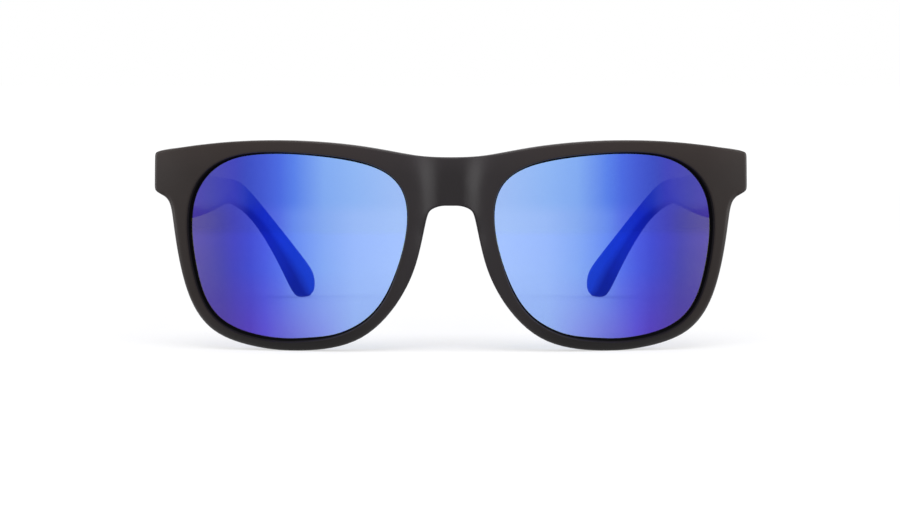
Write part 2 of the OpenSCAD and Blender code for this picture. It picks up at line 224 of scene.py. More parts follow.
def inside(p, ring):
    """True if a 2-D point lies in a closed ring."""
    hit = False
    for i, a in enumerate(ring):
        b = ring[i - 1]
        if (a[1] > p[1]) != (b[1] > p[1]):
            if p[0] < (b[0] - a[0]) * (p[1] - a[1]) / (b[1] - a[1]) + a[0]:
                hit = not hit
    return hit


def spread(points, shares):
    """Points at shares of a run's length, and that length."""
    points = np.array(points)
    steps = np.sqrt(((points[1:] - points[:-1]) ** 2).sum(1))
    length = np.concatenate([[0], np.cumsum(steps)])
    at = np.array(shares) * length[-1]
    return [Vector((float(np.interp(s, length, points[:, 0])),
                    float(np.interp(s, length, points[:, 1])))) for s in at], length[-1]


def make_piece(name, verts, faces, materials, body, node, crease, kinds=(), marks=()):
    """Makes a closed piece in the row frame from places in millimetres. kinds picks each
    face's material, and marks are the inner_side values of its points."""
    mesh = bpy.data.meshes.new(name)
    mesh.from_pydata([row_point(*v) for v in verts], [], faces)
    for polygon, kind in zip(mesh.polygons, kinds):
        polygon.material_index = kind
    if marks:
        mesh.attributes.new("inner_side", "FLOAT", "POINT").data.foreach_set("value", marks)
    work = bmesh.new()
    work.from_mesh(mesh)
    bmesh.ops.remove_doubles(work, verts=work.verts, dist=WELD * MM)
    bmesh.ops.dissolve_degenerate(work, edges=work.edges, dist=SLIVER * MM)
    bmesh.ops.recalc_face_normals(work, faces=work.faces)
    for face in work.faces:
        face.smooth = True
    for edge in work.edges:
        edge.smooth = edge.is_manifold and edge.calc_face_angle(0) < math.radians(crease)
    work.to_mesh(mesh)
    work.free()
    for material in materials:
        mesh.materials.append(material)
    obj = bpy.data.objects.new(name, mesh)
    bpy.context.scene.collection.objects.link(obj)
    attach(obj, body)
    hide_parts(node)


# ---------------------------------------------------------------- outlines

def eye(u, v, dx=0.0, dz=0.0):
    """A corner of the lens opening: shares of its width and height, then a shift."""
    return (EYE_X + u * LENS_W + dx, EYE_Z + v * LENS_H + dz)


def end(u, v):
    """A corner of the endpiece, in shares of its height."""
    return (END_X + u * ENDPIECE_H, BROW_Z + v * ENDPIECE_H)


def on_side(corners, fall):
    """Corners of a temple's edge from joint to bend, in shares of its length and fall."""
    return [(JOINT_Y + u * SIDE_L, BROW_Z - v * fall) for u, v in corners]


def on_tip(corners):
    """Corners of a temple's edge behind the bend, in shares of the tip's length and height."""
    return [(BEND_Y + u * TIP_L, v * BEND_Z) for u, v in corners]


LENS_CORNERS = [
    eye(-0.05, 0.77), eye(0.13, 0.96), eye(0.48, 1.0), eye(0.82, 1.01), eye(1.03, 0.8),
    eye(0.99, 0.34), eye(0.89, 0.05), eye(0.54, -0.03), eye(0.21, 0.06), eye(0.06, 0.28),
]

# Half the front: brow, endpiece, outer rim, lower rim, nose side and arch
HALF_CORNERS = [
    (0, BROW_Z - BROW_DIP - 0.2), (0.76 * EYE_X, BROW_Z - 0.8 * BROW_DIP - 0.15),
    eye(0.18, 1, 0, 0.53 * RIM_TOP), eye(0.5, 1, 0, 1.07 * RIM_TOP),
    eye(0.84, 1, 0, 0.86 * RIM_TOP),
    end(-0.25, 0.01), end(0.013, -0.03), end(0.013, -0.16), end(0.013, -0.88),
    end(0.013, -1.01),
    end(-0.34, -1.14),
    eye(0.99, 0.68, 1.25 * RIM_OUT), eye(0.99, 0.5, RIM_OUT), eye(0.95, 0.22, 0.85 * RIM_OUT),
    eye(0.88, 0.06, 0.34 * RIM_OUT, -0.69 * RIM_LOW), eye(0.68, 0, 0, -0.86 * RIM_LOW),
    eye(0.5, 0, 0, -1.18 * RIM_LOW), eye(0.235, 0.035, -0.57 * RIM_NOSE, -1.15 * RIM_LOW),
    eye(0.06, 0.28, -0.86 * RIM_NOSE), eye(0, 0.5, -0.78 * RIM_NOSE),
    (EYE_X - 1.12 * RIM_NOSE, ARCH_Z - 0.18 * BRIDGE_H),
    (EYE_X - 1.32 * RIM_NOSE, ARCH_Z - 0.06 * BRIDGE_H),
    (0.23 * EYE_X, ARCH_Z + 0.012 * BRIDGE_H), (0, ARCH_Z),
]

UPPER_EDGE = on_side([
    (-0.12, -0.05), (0.01, 0.08), (0.13, 0.27), (0.26, 0.46),
    (0.44, 0.63), (0.65, 0.79), (0.86, 0.93), (1, 1),
], SIDE_FALL) + on_tip([
    (0.15, 0.95), (0.38, 0.74), (0.65, 0.5), (0.87, 0.3), (0.99, 0.18), (0.97, 0.03),
])
LOWER_EDGE = on_side([
    (-0.12, 0.48), (0.01, 0.49), (0.1, 0.56), (0.2, 0.95),
    (0.37, 1), (0.63, 0.99), (0.84, 0.965), (0.95, 0.955),
], SIDE_LOW) + on_tip([
    (0.07, 0.8), (0.28, 0.7), (0.48, 0.49), (0.68, 0.21), (0.79, 0.03), (0.88, -0.01),
])

# The temple's middle from above, as x, y and thickness
TEMPLE_MID = [
    (END_X - JOINT_T / 2 - lean * SIDE_LEAN, JOINT_Y + along * SIDE_L, thick)
    for along, lean, thick in (
        (-0.12, 0, JOINT_T), (0.01, 0, JOINT_T), (0.12, 0.11, mix(JOINT_T, TEMPLE_T, 0.22)),
        (0.23, 0.25, mix(JOINT_T, TEMPLE_T, 0.67)), (0.4, 0.43, TEMPLE_T),
        (0.64, 0.63, TEMPLE_T), (0.85, 0.83, TEMPLE_T),
        (0.97, 0.97, 0.6 * TEMPLE_T + 0.4 * TIP_T),
    )
] + [
    (END_X - JOINT_T / 2 - SIDE_LEAN - lean * TIP_LEAN, BEND_Y + along * TIP_L, TIP_T)
    for along, lean in (
        (0.12, 0.1), (0.33, 0.33), (0.57, 0.59), (0.8, 0.84), (1, 1.06), (1.2, 1.28),
    )
]


def lens_curve():
    """The lens opening's outline, clockwise."""
    points = curve(LENS_CORNERS, 12)
    if sum(a.x * b.y - b.x * a.y for a, b in zip(points, points[1:])) > 0:
        points.reverse()
    return points


# ---------------------------------------------------------------- the moulded front

def ball_y(out, z, below):
    """One side's ball: at a distance beside its middle, and at a depth below its surface."""
    return FACE_R - math.sqrt((FACE_R - below) ** 2 - out ** 2 - (z - MID_Z) ** 2)


def face_y(x, z, below=0.0):
    """Both sides' balls, eased where they meet at the nose."""
    return ball_y(math.sqrt(x * x + BRIDGE_EASE ** 2) - FACE_X, z, below)


def front_y(x, z):
    """The front's outer face with the bridge's hollow, before its edges are rounded."""
    wide = 1 + HOLLOW_FLARE * smooth(FLARE_Z, BROW_Z, z) ** 2
    hollow = HOLLOW * (1 - smooth(HOLLOW_IN * wide, HOLLOW_OUT * wide, abs(x)))
    return face_y(x, z) + hollow


def back_y(x, z):
    """The front's inner face: its wall, the nose pad, and the steps at the hinge and joint."""
    y = face_y(x, z, FRONT_T) + BRIDGE_BACK * (1 - smooth(HOLLOW_IN, HOLLOW_OUT, abs(x)))
    out = PAD_R ** 2 - (x - EYE_X) ** 2 - (z - MID_Z) ** 2
    if out > 0:
        pad = PAD_DEEP - PAD_R + math.sqrt(out)
        y = (y + pad + math.hypot(y - pad, PAD_EASE)) / 2
    seat = smooth(SEAT_X - STEP, SEAT_X, x) * smooth(SEAT_Z - STEP, SEAT_Z, z)
    y = mix(y, SEAT_Y, seat) if SEAT_Y > y else y
    joint = smooth(STEP_X, STEP_X + STEP, x) * smooth(JOINT_Z - STEP, JOINT_Z, z)
    return mix(y, JOINT_Y, joint)


def rounded(distance, radius):
    """How far a rounded edge has fallen back at a distance inside it."""
    if distance >= radius:
        return 0
    return radius - math.sqrt(radius ** 2 - (radius - distance) ** 2)


def outer_height(x, z, to_edge, to_lens):
    """The outer face with its rolls and its rounded edges."""
    nose = (1 - smooth(*NOSE_OUT, x)) * (1 - smooth(*NOSE_UP, z))
    under = LOW_ROLL * (1 - smooth(0, LOW_ROLL_W, to_edge)) * (1 - smooth(*LOW_ROLL_UP, z))
    beside = nose * NOSE_ROLL * (1 - smooth(0, NOSE_ROLL_W, to_edge)) * (
        1 - smooth(*NOSE_ROLL_UP, z))
    crisp = max(smooth(0, 0.5, nose), smooth(*CRISP_OUT, x), smooth(*CRISP_UP, z))
    edge = mix(EDGE_R, ARCH_R, crisp)
    return front_y(x, z) + under + beside + rounded(to_edge, edge) + rounded(to_lens, LIP_R)


def inner_height(x, z, to_edge, to_lens):
    """The inner face with its rounded edges, which stay sharp where the temple meets it."""
    joint = smooth(JOINT_X - 1, JOINT_X, x) * smooth(JOINT_Z - 1, JOINT_Z, z)
    return back_y(x, z) - rounded(to_edge, mix(BACK_R, JOINT_R, joint)) - rounded(
        to_lens, LIP_R)


def reach(row, p):
    """How far the rim or its lip reaches in over the lens at a place on the outline."""
    turn = math.degrees(math.atan2(p.y - MID_Z, p.x - EYE_X - LENS_W / 2)) % 360 / 30
    i = int(turn)
    return mix(row[i % 12], row[(i + 1) % 12], smooth(0, 1, turn - i))


def step_lines():
    """Places along the inner face's steps, so that they come out straight."""
    places = []
    for k in range(int((BROW_Z - JOINT_Z + 3) / STEP_GRAIN)):
        z = JOINT_Z - 1 + STEP_GRAIN * k
        places += [(x, z) for x in (
            SEAT_X - STEP, SEAT_X - 0.5 * STEP, SEAT_X,
            STEP_X, STEP_X + 0.5 * STEP, STEP_X + STEP)]
    for k in range(int((END_X - LEAF_X) / STEP_GRAIN) + 2):
        x = LEAF_X - 0.6 + STEP_GRAIN * k
        places += [(x, z) for z in (
            SEAT_Z - STEP, SEAT_Z - 0.5 * STEP, SEAT_Z,
            JOINT_Z - STEP, JOINT_Z - 0.5 * STEP, JOINT_Z)]
    return places


def fill(outer, hole, middle, extra=()):
    """Triangles between an outline with its straight side at x = 0 and the hole in it,
    finer towards both edges."""
    rim = outer + middle
    places = []
    for deep in EDGE_RINGS:
        for ring, sign, closed in ((outer, -1, False), (hole, 1, True)):
            for p in moved(ring, sign * deep, closed):
                if p.x > MIDDLE_CLEAR:
                    places.append((deep * RING_KEEP, p))
    for i in range(int(END_X / GRAIN) + 1):
        for k in range(int((BROW_Z + 4) / GRAIN)):
            p = Vector(((i + 0.5 * (k % 2)) * GRAIN, k * GRAIN))
            if p.x > GRID_CLEAR * GRAIN:
                places.append((EDGE_RINGS[-1] + GRID_KEEP * GRAIN, p))
    places += [(EXTRA_CLEAR, Vector(p)) for p in extra]
    flat = [p for _, p in places]
    to_outer = distances(flat, outer, closed=False)
    to_hole = distances(flat, hole)
    kept = [
        p for (least, p), a, b in zip(places, to_outer, to_hole)
        if min(a, b) >= least and inside(p, rim) and not inside(p, hole)
    ]
    count, holes = len(rim), len(hole)
    edges = [(i, (i + 1) % count) for i in range(count)]
    edges += [(count + i, count + (i + 1) % holes) for i in range(holes)]
    points, _, faces, origin, *_ = delaunay_2d_cdt(rim + hole + kept, edges, [], 0, 1e-6)
    place = {old: new for new, olds in enumerate(origin) for old in olds}
    wanted = []
    for f in faces:
        centre = sum((points[i] for i in f), Vector((0, 0))) / len(f)
        if inside(centre, rim) and not inside(centre, hole):
            wanted.append(tuple(f))
    return points, wanted, [place[i] for i in range(len(outer))], [
        place[count + i] for i in range(holes)]


def make_front():
    """The front as one mesh: outer face, edge, inner face, and the lens openings' walls."""
    half = [(-HALF_CORNERS[1][0], HALF_CORNERS[1][1])] + HALF_CORNERS + [
        (-HALF_CORNERS[-2][0], HALF_CORNERS[-2][1])]
    outer = curve(half, 8, closed=False)
    outer[0].x = outer[-1].x = 0
    # Both runs go clockwise, so that outward() points away from the hole and the outline
    lens_edge = lens_curve()
    away = outward(lens_edge)
    lip = [p - n * reach(LIP_REACH, p) for p, n in zip(lens_edge, away)]
    rim_edge = [p - n * reach(RIM_REACH, p) for p, n in zip(lens_edge, away)]
    shade = [p.lerp(q, LIP_SHADE) for p, q in zip(rim_edge, lip)]
    groove = [p + n * GROOVE_DEEP for p, n in zip(lens_edge, away)]

    # The straight side on the middle line, finer towards arch and brow
    arch, brow = outer[-1].y, outer[0].y
    low, high = [arch + d for d in EDGE_RINGS], [brow - d for d in EDGE_RINGS]
    count = round((brow - arch - 2 * EDGE_RINGS[-1]) / GRAIN)
    rise = low + high + [mix(low[-1], high[-1], i / count) for i in range(1, count)]
    middle = [Vector((0, z)) for z in sorted(rise)]

    verts, faces, kinds = [], [], []
    # black and half_lit are the lip's painted shade, whole and half
    nylon, black, half_lit = range(3)

    def sheet(hole, height, flip, extra=()):
        """One face of the front. Gives back its vertices on the outline and on the hole."""
        points, tris, rim, ring = fill(outer, hole, middle, extra)
        to_outer = distances(points, outer, closed=False)
        to_hole = distances(points, hole)
        first = len(verts)
        for p, a, b in zip(points, to_outer, to_hole):
            verts.append((p.x, height(p.x, p.y, a, b), p.y))
        for f in tris:
            f = [first + i for i in f]
            faces.append(f[::-1] if flip else f)
            kinds.append(nylon)
        return [first + i for i in rim], [first + i for i in ring]

    def wall(upper, lower, kind, closed, steps=1):
        """A strip of quads between two runs of vertices."""
        runs = [upper]
        for s in range(1, steps):
            run = []
            for a, b in zip(upper, lower):
                verts.append(tuple(mix(p, q, s / steps) for p, q in zip(verts[a], verts[b])))
                run.append(len(verts) - 1)
            runs.append(run)
        runs.append(lower)
        last = len(upper) if closed else len(upper) - 1
        for one, two in zip(runs, runs[1:]):
            for i in range(last):
                j = (i + 1) % len(upper)
                faces.append((one[i], one[j], two[j], two[i]))
                kinds.append(kind)

    def ring_of(flat, height):
        """A ring of vertices over a flat outline."""
        first = len(verts)
        verts.extend((p.x, height(p.x, p.y), p.y) for p in flat)
        return list(range(first, first + len(flat)))

    front_rim, front_ring = sheet(rim_edge, outer_height, False)
    back_rim, back_ring = sheet(lens_edge, inner_height, True, step_lines())
    wall(front_rim, back_rim, nylon, False, 4)
    rings = [
        front_ring,
        ring_of(shade, lambda x, z: mix(
            front_y(x, z) + LIP_R, face_y(x, z, LIP_FOOT), LIP_SHADE)),
        ring_of(lip, lambda x, z: face_y(x, z, LIP_FOOT)),
        ring_of(lip, lambda x, z: face_y(x, z, GROOVE_FORE)),
        ring_of(groove, lambda x, z: face_y(x, z, GROOVE_FORE)),
        ring_of(groove, lambda x, z: face_y(x, z, GROOVE_AFT)),
        ring_of(lens_edge, lambda x, z: face_y(x, z, GROOVE_AFT)),
        back_ring,
    ]
    for one, two in zip(rings, rings[1:]):
        wall(one, two, half_lit if one is front_ring else black, True)

    # The other half, mirrored, meets this one on the middle line
    count = len(verts)
    verts += [(-x, y, z) for x, y, z in verts]
    faces += [tuple(count + i for i in reversed(f)) for f in faces]
    kinds += kinds
    make_piece(
        "moulded_front", verts, faces, [front_plastic, lip_painted_shade, lip_painted_half_shade], "front",
        "front_frame", 34, kinds)


# ---------------------------------------------------------------- the mirror lenses

def make_lens(side, sign):
    """A lens cut from a ball, as rings from its middle outwards, with an eased edge."""
    edge = moved(lens_curve(), GROOVE_DEEP - LENS_PLAY)
    middle = Vector((EYE_X + 0.5 * LENS_W, MID_Z))
    verts, faces, kinds = [], [], []
    coated, varnished, ground = range(3)

    def lay(flat, below):
        """A ring of vertices at a depth in the lens."""
        first = len(verts)
        verts.extend((p.x, ball_y(p.x - FACE_X, p.y, below), p.y) for p in flat)
        return list(range(first, first + len(flat)))

    def shell(below, kind):
        """One face of the lens. Gives back its last ring."""
        centre = lay([middle], below)[0]
        before = None
        for k in range(1, LENS_RINGS + 1):
            share = k / LENS_RINGS * (1 - BEVEL_SHARE)
            ring = lay([middle.lerp(p, share) for p in edge], below)
            for i in range(len(ring)):
                j = (i + 1) % len(ring)
                if before is None:
                    faces.append((centre, ring[i], ring[j]))
                else:
                    faces.append((before[i], ring[i], ring[j], before[j]))
                kinds.append(kind)
            before = ring
        return before

    rings = [
        shell(LENS_IN, coated), lay(edge, LENS_IN + LENS_BEVEL),
        lay(edge, LENS_IN + LENS_T - LENS_BEVEL), shell(LENS_IN + LENS_T, varnished),
    ]
    for one, two in zip(rings, rings[1:]):
        for i in range(len(one)):
            j = (i + 1) % len(one)
            faces.append((one[i], one[j], two[j], two[i]))
            kinds.append(ground)
    make_piece(
        f"{side}_mirror_lens", [(sign * x, y, z) for x, y, z in verts], faces,
        [mirror_coat, lens_back, lens_edge_black], "front", f"{side}_lens", 30, kinds)


# ---------------------------------------------------------------- the temples

def temple_edges():
    """The temple's upper and lower edges from the joint plane to the tip's apex."""
    around = curve(UPPER_EDGE + LOWER_EDGE[::-1], 10)
    start = JOINT_Y + JOINT_GAP
    aim = Vector((0.6, -0.8))       # the way that the tip points
    apex = max(range(len(around)), key=lambda i: around[i].dot(aim))
    around = around[apex:] + around[:apex]
    ends = [i for i in range(len(around))
            if (around[i].x < start) != (around[(i + 1) % len(around)].x < start)]

    def cut(i, j):
        """Where the outline crosses the joint plane between two of its points."""
        a, b = around[i], around[j]
        return a.lerp(b, (start - a.x) / (b.x - a.x))

    first, last = ends[0], ends[-1]
    lower = [cut(first, first + 1)] + around[first::-1]
    upper = [cut(last, last + 1)] + around[last + 1:] + [around[0]]
    if lower[0].y > upper[0].y:
        lower, upper = upper, lower
    return upper, lower


# A section's power: 2 is an oval and a high one nearly a rectangle
JOINT_POWER, FOOT_POWER, TOP_POWER, POWER_TURN = 7.0, 2.0, 6.0, 0.35
# Shares of the temple's length over which it grows softer, and over which the tip begins
SOFT_AT, LATE_AT = (0.02, 0.3), (0.7, 0.95)
# How fast the blue fades downwards into painted shade at the joint and at the tip, and from how
# high there
UNDER_SHADE_FALL, UNDER_SHADE_FROM = (0.45, 0.6), 0.55
# How far down the paint reaches at first and later, and where along the temple that changes
PAINT_FOOT, PAINT_FOOT_AT, BLACK_FOOT_AT = (0.62, 0.95), (0.2, 0.45), (0.38, 0.48)
BLACK = -0.2            # inner_side where there is no paint


def painted(share, up, out, soft, late):
    """How far a place lies on a temple's painted side: 1 inside, below 0 on the outer side.
    Towards the lower edge the blue fades into painted shade of the rounded underside, from
    higher up near the tip, and the paint stops short of that edge on the first part of the
    temple."""
    value = -out + mix(*UNDER_SHADE_FALL, late) * min(up - UNDER_SHADE_FROM * late, 0) * soft
    foot = mix(*PAINT_FOOT, smooth(*PAINT_FOOT_AT, share))
    black = smooth(foot - 0.1, foot + 0.06, -up) * (1 - smooth(*BLACK_FOOT_AT, share))
    return mix(value, min(value, BLACK), black)


def make_temple(side, sign):
    """A temple lofted between its edges: nearly square at the joint, oval further back."""
    upper, lower = temple_edges()
    shares = sorted(
        [k / TEMPLE_RINGS for k in range(TEMPLE_RINGS)]
        + [1 - (1 - TEMPLE_LAST) * (1 - t) ** TIP_CROWD for t in TIP_RINGS])
    ups, length = spread(upper, shares)
    lows, _ = spread(lower, shares)
    mid = np.array([(y, x, t) for x, y, t in curve(TEMPLE_MID, 8, closed=False)])
    slope = np.gradient(mid[:, 1], mid[:, 0])
    verts, faces, inner_side = [], [], []
    for share, up, low in zip(shares, ups, lows):
        centre = (up + low) / 2
        half = (up - low) / 2
        soft = smooth(*SOFT_AT, share)
        late = smooth(*LATE_AT, share)
        left = (1 - share) * length
        close = math.sqrt(max(0, 1 - max(0, 1 - left / TIP_ROUND) ** 2))
        for k in range(TEMPLE_SIDES):
            turn = 2 * math.pi * (k + 0.5) / TEMPLE_SIDES
            along, across = math.cos(turn), math.sin(turn)
            # Crisp along the top of the inner side, soft along the foot of the outer side
            edge = mix(FOOT_POWER, TOP_POWER, 0.5 + POWER_TURN * (along - across))
            power = mix(JOINT_POWER, edge, soft)
            a = math.copysign(abs(along) ** (2 / power), along)
            b = math.copysign(abs(across) ** (2 / power), across)
            p = centre + half * a
            x = float(np.interp(p.x, mid[:, 0], mid[:, 1]))
            thick = float(np.interp(p.x, mid[:, 0], mid[:, 2]))
            lean = float(np.interp(p.x, mid[:, 0], slope))
            x += b * close * 0.5 * thick * math.sqrt(1 + lean ** 2)
            verts.append((x, p.x, p.y))
            inner_side.append(painted(share, a, b, soft, late))
    for i in range(len(shares) - 1):
        one, two = i * TEMPLE_SIDES, (i + 1) * TEMPLE_SIDES
        for k in range(TEMPLE_SIDES):
            j = (k + 1) % TEMPLE_SIDES
            faces.append((one + k, one + j, two + j, two + k))
    faces.append(tuple(range(TEMPLE_SIDES)))
    tip = upper[-1]
    verts.append((float(np.interp(tip.x, mid[:, 0], mid[:, 1])), tip.x, tip.y))
    inner_side.append(0)
    last = (len(shares) - 1) * TEMPLE_SIDES
    for k in range(TEMPLE_SIDES):
        faces.append((last + k, last + (k + 1) % TEMPLE_SIDES, len(verts) - 1))
    make_piece(
        f"{side}_sprung_temple", [(sign * x, y, z) for x, y, z in verts], faces,
        [temple_plastic], f"{side}_arm", f"{side}_temple", 40,
        marks=inner_side)


# ---------------------------------------------------------------- finishes

def linear(code):
    """An sRGB hex value as linear red, green and blue, and a full alpha."""
    parts = [int(code[i:i + 2], 16) / 255 for i in (1, 3, 5)]
    return tuple(
        c / 12.92 if c <= 0.04045 else ((c + 0.055) / 1.055) ** 2.4 for c in parts
    ) + (1.0,)


def toned(colour, factor):
    """A linear colour made lighter or darker."""
    return tuple(factor * c for c in colour[:3]) + (1.0,)


def cells(size):
    """The scale at which a noise on Object coordinates has cells of a size in millimetres."""
    return 1 / (size * MM)


def add(tree, kind, inputs=None, stops=(), **settings):
    """Adds one node, sets what it is given, links the inputs that are sockets, and puts the
    stops, as (place, colour), on a colour ramp."""
    node = tree.nodes.new(kind)
    for name, value in settings.items():
        setattr(node, name, value)
    for name, value in (inputs or {}).items():
        socket = node.inputs[name]
        if isinstance(value, bpy.types.NodeSocket):
            tree.links.new(value, socket)
        else:
            socket.default_value = value
    for i, (place, colour) in enumerate(stops):
        bar = node.color_ramp.elements
        element = bar[i] if i < len(bar) else bar.new(place)
        element.position = place
        element.color = colour
    return node


def new_material(name):
    """An empty material with its output node."""
    material = bpy.data.materials.new(name)
    material.use_nodes = True
    tree = material.node_tree
    tree.nodes.clear()
    return material, tree, tree.nodes.new("ShaderNodeOutputMaterial").inputs["Surface"]


# Moulded nylon is cloudy in patches of about a centimetre. The pits that a blasted mould
# leaves are 0.05 mm wide, and are drawn six times as coarse, so that they still break up a
# highlight.
CLOUD, PITS = 11.111, 0.3125
# How much lighter the pale patches are, and how far the roughness goes down and up
CLOUD_TONE, CLOUD_GLOSS, CLOUD_DRY = 1.14, 0.04, 0.05


def moulded(name, colour, roughness, gloss, lacquer=None):
    """Injection-moulded nylon from a fine-blasted mould: a dry, even sheen that is slightly
    cloudy, with a grain that only breaks up the highlights."""
    material, tree, surface = new_material(name)
    place = add(tree, "ShaderNodeTexCoord").outputs["Object"]
    cloud = add(tree, "ShaderNodeTexNoise", {
        "Vector": place, "Scale": cells(CLOUD), "Detail": 3.0, "Roughness": 0.5,
    }).outputs["Fac"]
    grain = add(tree, "ShaderNodeTexNoise", {
        "Vector": place, "Scale": cells(PITS), "Detail": 2.0, "Roughness": 0.6,
    }).outputs["Fac"]
    if isinstance(colour, str):
        colour = add(tree, "ShaderNodeValToRGB", {"Fac": cloud}, [
            (0.35, linear(colour)), (0.65, toned(linear(colour), CLOUD_TONE)),
        ]).outputs["Color"]
    else:
        colour = colour(tree)
    dry = add(tree, "ShaderNodeMapRange", {
        "Value": cloud, "From Min": 0.3, "From Max": 0.7,
        "To Min": roughness - CLOUD_GLOSS, "To Max": roughness + CLOUD_DRY,
    }).outputs["Result"]
    bump = add(tree, "ShaderNodeBump", {
        "Height": grain, "Strength": 0.12, "Distance": 0.06 * MM}).outputs["Normal"]
    shader = add(tree, "ShaderNodeBsdfPrincipled", {
        "Base Color": colour, "Roughness": dry, "Normal": bump, "IOR": 1.52,
        "Specular IOR Level": gloss})
    if lacquer:
        shader.inputs["Coat Roughness"].default_value = 0.1
        shader.inputs["Coat IOR"].default_value = 1.6
        tree.links.new(lacquer(tree), shader.inputs["Coat Weight"])
    tree.links.new(shader.outputs["BSDF"], surface)
    return material


NYLON_END = 70          # distance from the nose at which the nylon's colour runs out
TOP_LIGHT_Z, TOP_LIGHT = (43, 50), 1.5            # heights over which the brow is made lighter, to this tone: painted light from above
FOOT_SHADE_Z, FOOT_SHADE = (2, 9), 0.35             # heights over which the foot comes up from this darker tone: painted shade below


def black_nylon_and_painted_light(tree):
    """Black that runs a little warmer away from the nose. Its lightness is painted light and
    shade: lighter beside the nose, darker towards the ends, lighter along the brow and darker
    at the foot of the rims."""
    place = add(tree, "ShaderNodeSeparateXYZ", {
        "Vector": add(tree, "ShaderNodeTexCoord").outputs["Object"]}).outputs
    out = add(tree, "ShaderNodeMath", {0: place["X"]}, operation="ABSOLUTE").outputs["Value"]
    share = add(tree, "ShaderNodeMapRange", {
        "Value": out, "From Min": 0.0, "From Max": NYLON_END * MM}).outputs["Result"]
    # Lighter beside the nose and darker towards the ends: painted light and shade, besides the
    # warmer tone away from the nose
    black = add(tree, "ShaderNodeValToRGB", {"Fac": share}, [
        (0.12, linear("#262224")), (0.36, linear("#251f1f")), (0.7, linear("#221b19")),
    ]).outputs["Color"]
    # Painted light along the brow and painted shade at the foot of the rims, by height
    painted_top_light = add(tree, "ShaderNodeMapRange", {
        "Value": place["Z"], "From Min": TOP_LIGHT_Z[0] * MM, "From Max": TOP_LIGHT_Z[1] * MM,
        "To Min": 1.0, "To Max": TOP_LIGHT}).outputs["Result"]
    foot = add(tree, "ShaderNodeMapRange", {
        "Value": place["Z"], "From Min": FOOT_SHADE_Z[0] * MM, "From Max": FOOT_SHADE_Z[1] * MM,
        "To Min": FOOT_SHADE, "To Max": 1.0}).outputs["Result"]
    both = add(tree, "ShaderNodeMath", {
        0: painted_top_light, 1: foot}, operation="MULTIPLY").outputs["Value"]
    return add(tree, "ShaderNodeVectorMath", {
        0: black, "Scale": both}, operation="SCALE").outputs["Vector"]


PAINT_EDGE = 0.7        # inner_side from which the paint is whole


def two_tone_and_shade(tree):
    """Black outside and edges, and a blue inner side that fades into painted shade towards its
    lower edge.
    """
    inner = add(tree, "ShaderNodeAttribute", attribute_name="inner_side").outputs["Fac"]
    share = add(tree, "ShaderNodeMapRange", {
        "Value": inner, "From Min": -1.0, "From Max": PAINT_EDGE}).outputs["Result"]
    return add(tree, "ShaderNodeValToRGB", {"Fac": share}, [
        (0.0, linear("#221f1e")), (0.45, linear("#191618")), (0.58, linear("#0a0a0d")),
        (0.7, linear("#081030")), (1.0, linear("#1751b4")),
    ]).outputs["Color"]


def lacquer_left(tree):
    """How much clear lacquer there is: on the painted inner side alone, and worn matt by
    hair from the bend to the middle of the tip."""
    place = add(tree, "ShaderNodeSeparateXYZ", {
        "Vector": add(tree, "ShaderNodeTexCoord").outputs["Object"]}).outputs["Y"]
    left = add(tree, "ShaderNodeMapRange", {
        "Value": place, "From Min": (BEND_Y - 8 - HOME_Y) * MM,
        "From Max": (BEND_Y + 0.5 * TIP_L - HOME_Y) * MM,
        "To Min": 1.0, "To Max": 0.12}).outputs["Result"]
    inner = add(tree, "ShaderNodeAttribute", attribute_name="inner_side").outputs["Fac"]
    share = add(tree, "ShaderNodeMapRange", {
        "Value": inner, "From Min": 0.0, "From Max": PAINT_EDGE},
        interpolation_type="SMOOTHSTEP").outputs["Result"]
    return add(tree, "ShaderNodeMath", {
        0: left, 1: share}, operation="MULTIPLY").outputs["Value"]


# Places across a lens from the nose, the light that its tint lets through there, and the
# colour that mirror and tint show together over white. The mirror's part of it is painted
# reflection: how bright and how violet the real mirror shows its surroundings there
MIRROR_STOPS = (
    (12.7, (0.37, 0.53, 0.55), "#a6c4f9"),
    (23.2, (0.31, 0.48, 0.55), "#9bbbf6"),
    (30.6, (0.243, 0.40, 0.55), "#88acf0"),
    (37.9, (0.141, 0.26, 0.55), "#6a8eec"),
    (41.6, (0.093, 0.148, 0.404), "#5871e4"),
    (45.2, (0.070, 0.096, 0.284), "#4d5dd8"),
    (48.9, (0.0555, 0.066, 0.255), "#454ec8"),
    (52.6, (0.04, 0.045, 0.14), "#4647b7"),
    (55.7, (0.042, 0.042, 0.06), "#4b49a7"),
    (58.7, (0.055, 0.055, 0.02), "#5550a0"),
    (62.6, (0.066, 0.066, 0.01), "#5f579d"),
)
# The same near the brow: painted reflection, bluer up high
HIGH_STOPS = (
    (12.7, (0.34, 0.50, 0.55), "#a0bff5"),
    (23.2, (0.245, 0.42, 0.545), "#90b6f3"),
    (30.6, (0.205, 0.365, 0.54), "#83abf0"),
    (37.9, (0.101, 0.21, 0.48), "#5b82e8"),
    (41.6, (0.068, 0.135, 0.37), "#4d6bdf"),
    (45.2, (0.054, 0.092, 0.28), "#465cd2"),
    (48.9, (0.038, 0.055, 0.18), "#4051c4"),
    (50.6, (0.026, 0.034, 0.10), "#414dbe"),
    (52.6, (0.024, 0.028, 0.07), "#4549bb"),
    (55.7, (0.024, 0.024, 0.05), "#4b4cb5"),
    (58.7, (0.02, 0.02, 0.03), "#5050af"),
    (62.6, (0.02, 0.02, 0.02), "#5852b0"),
)
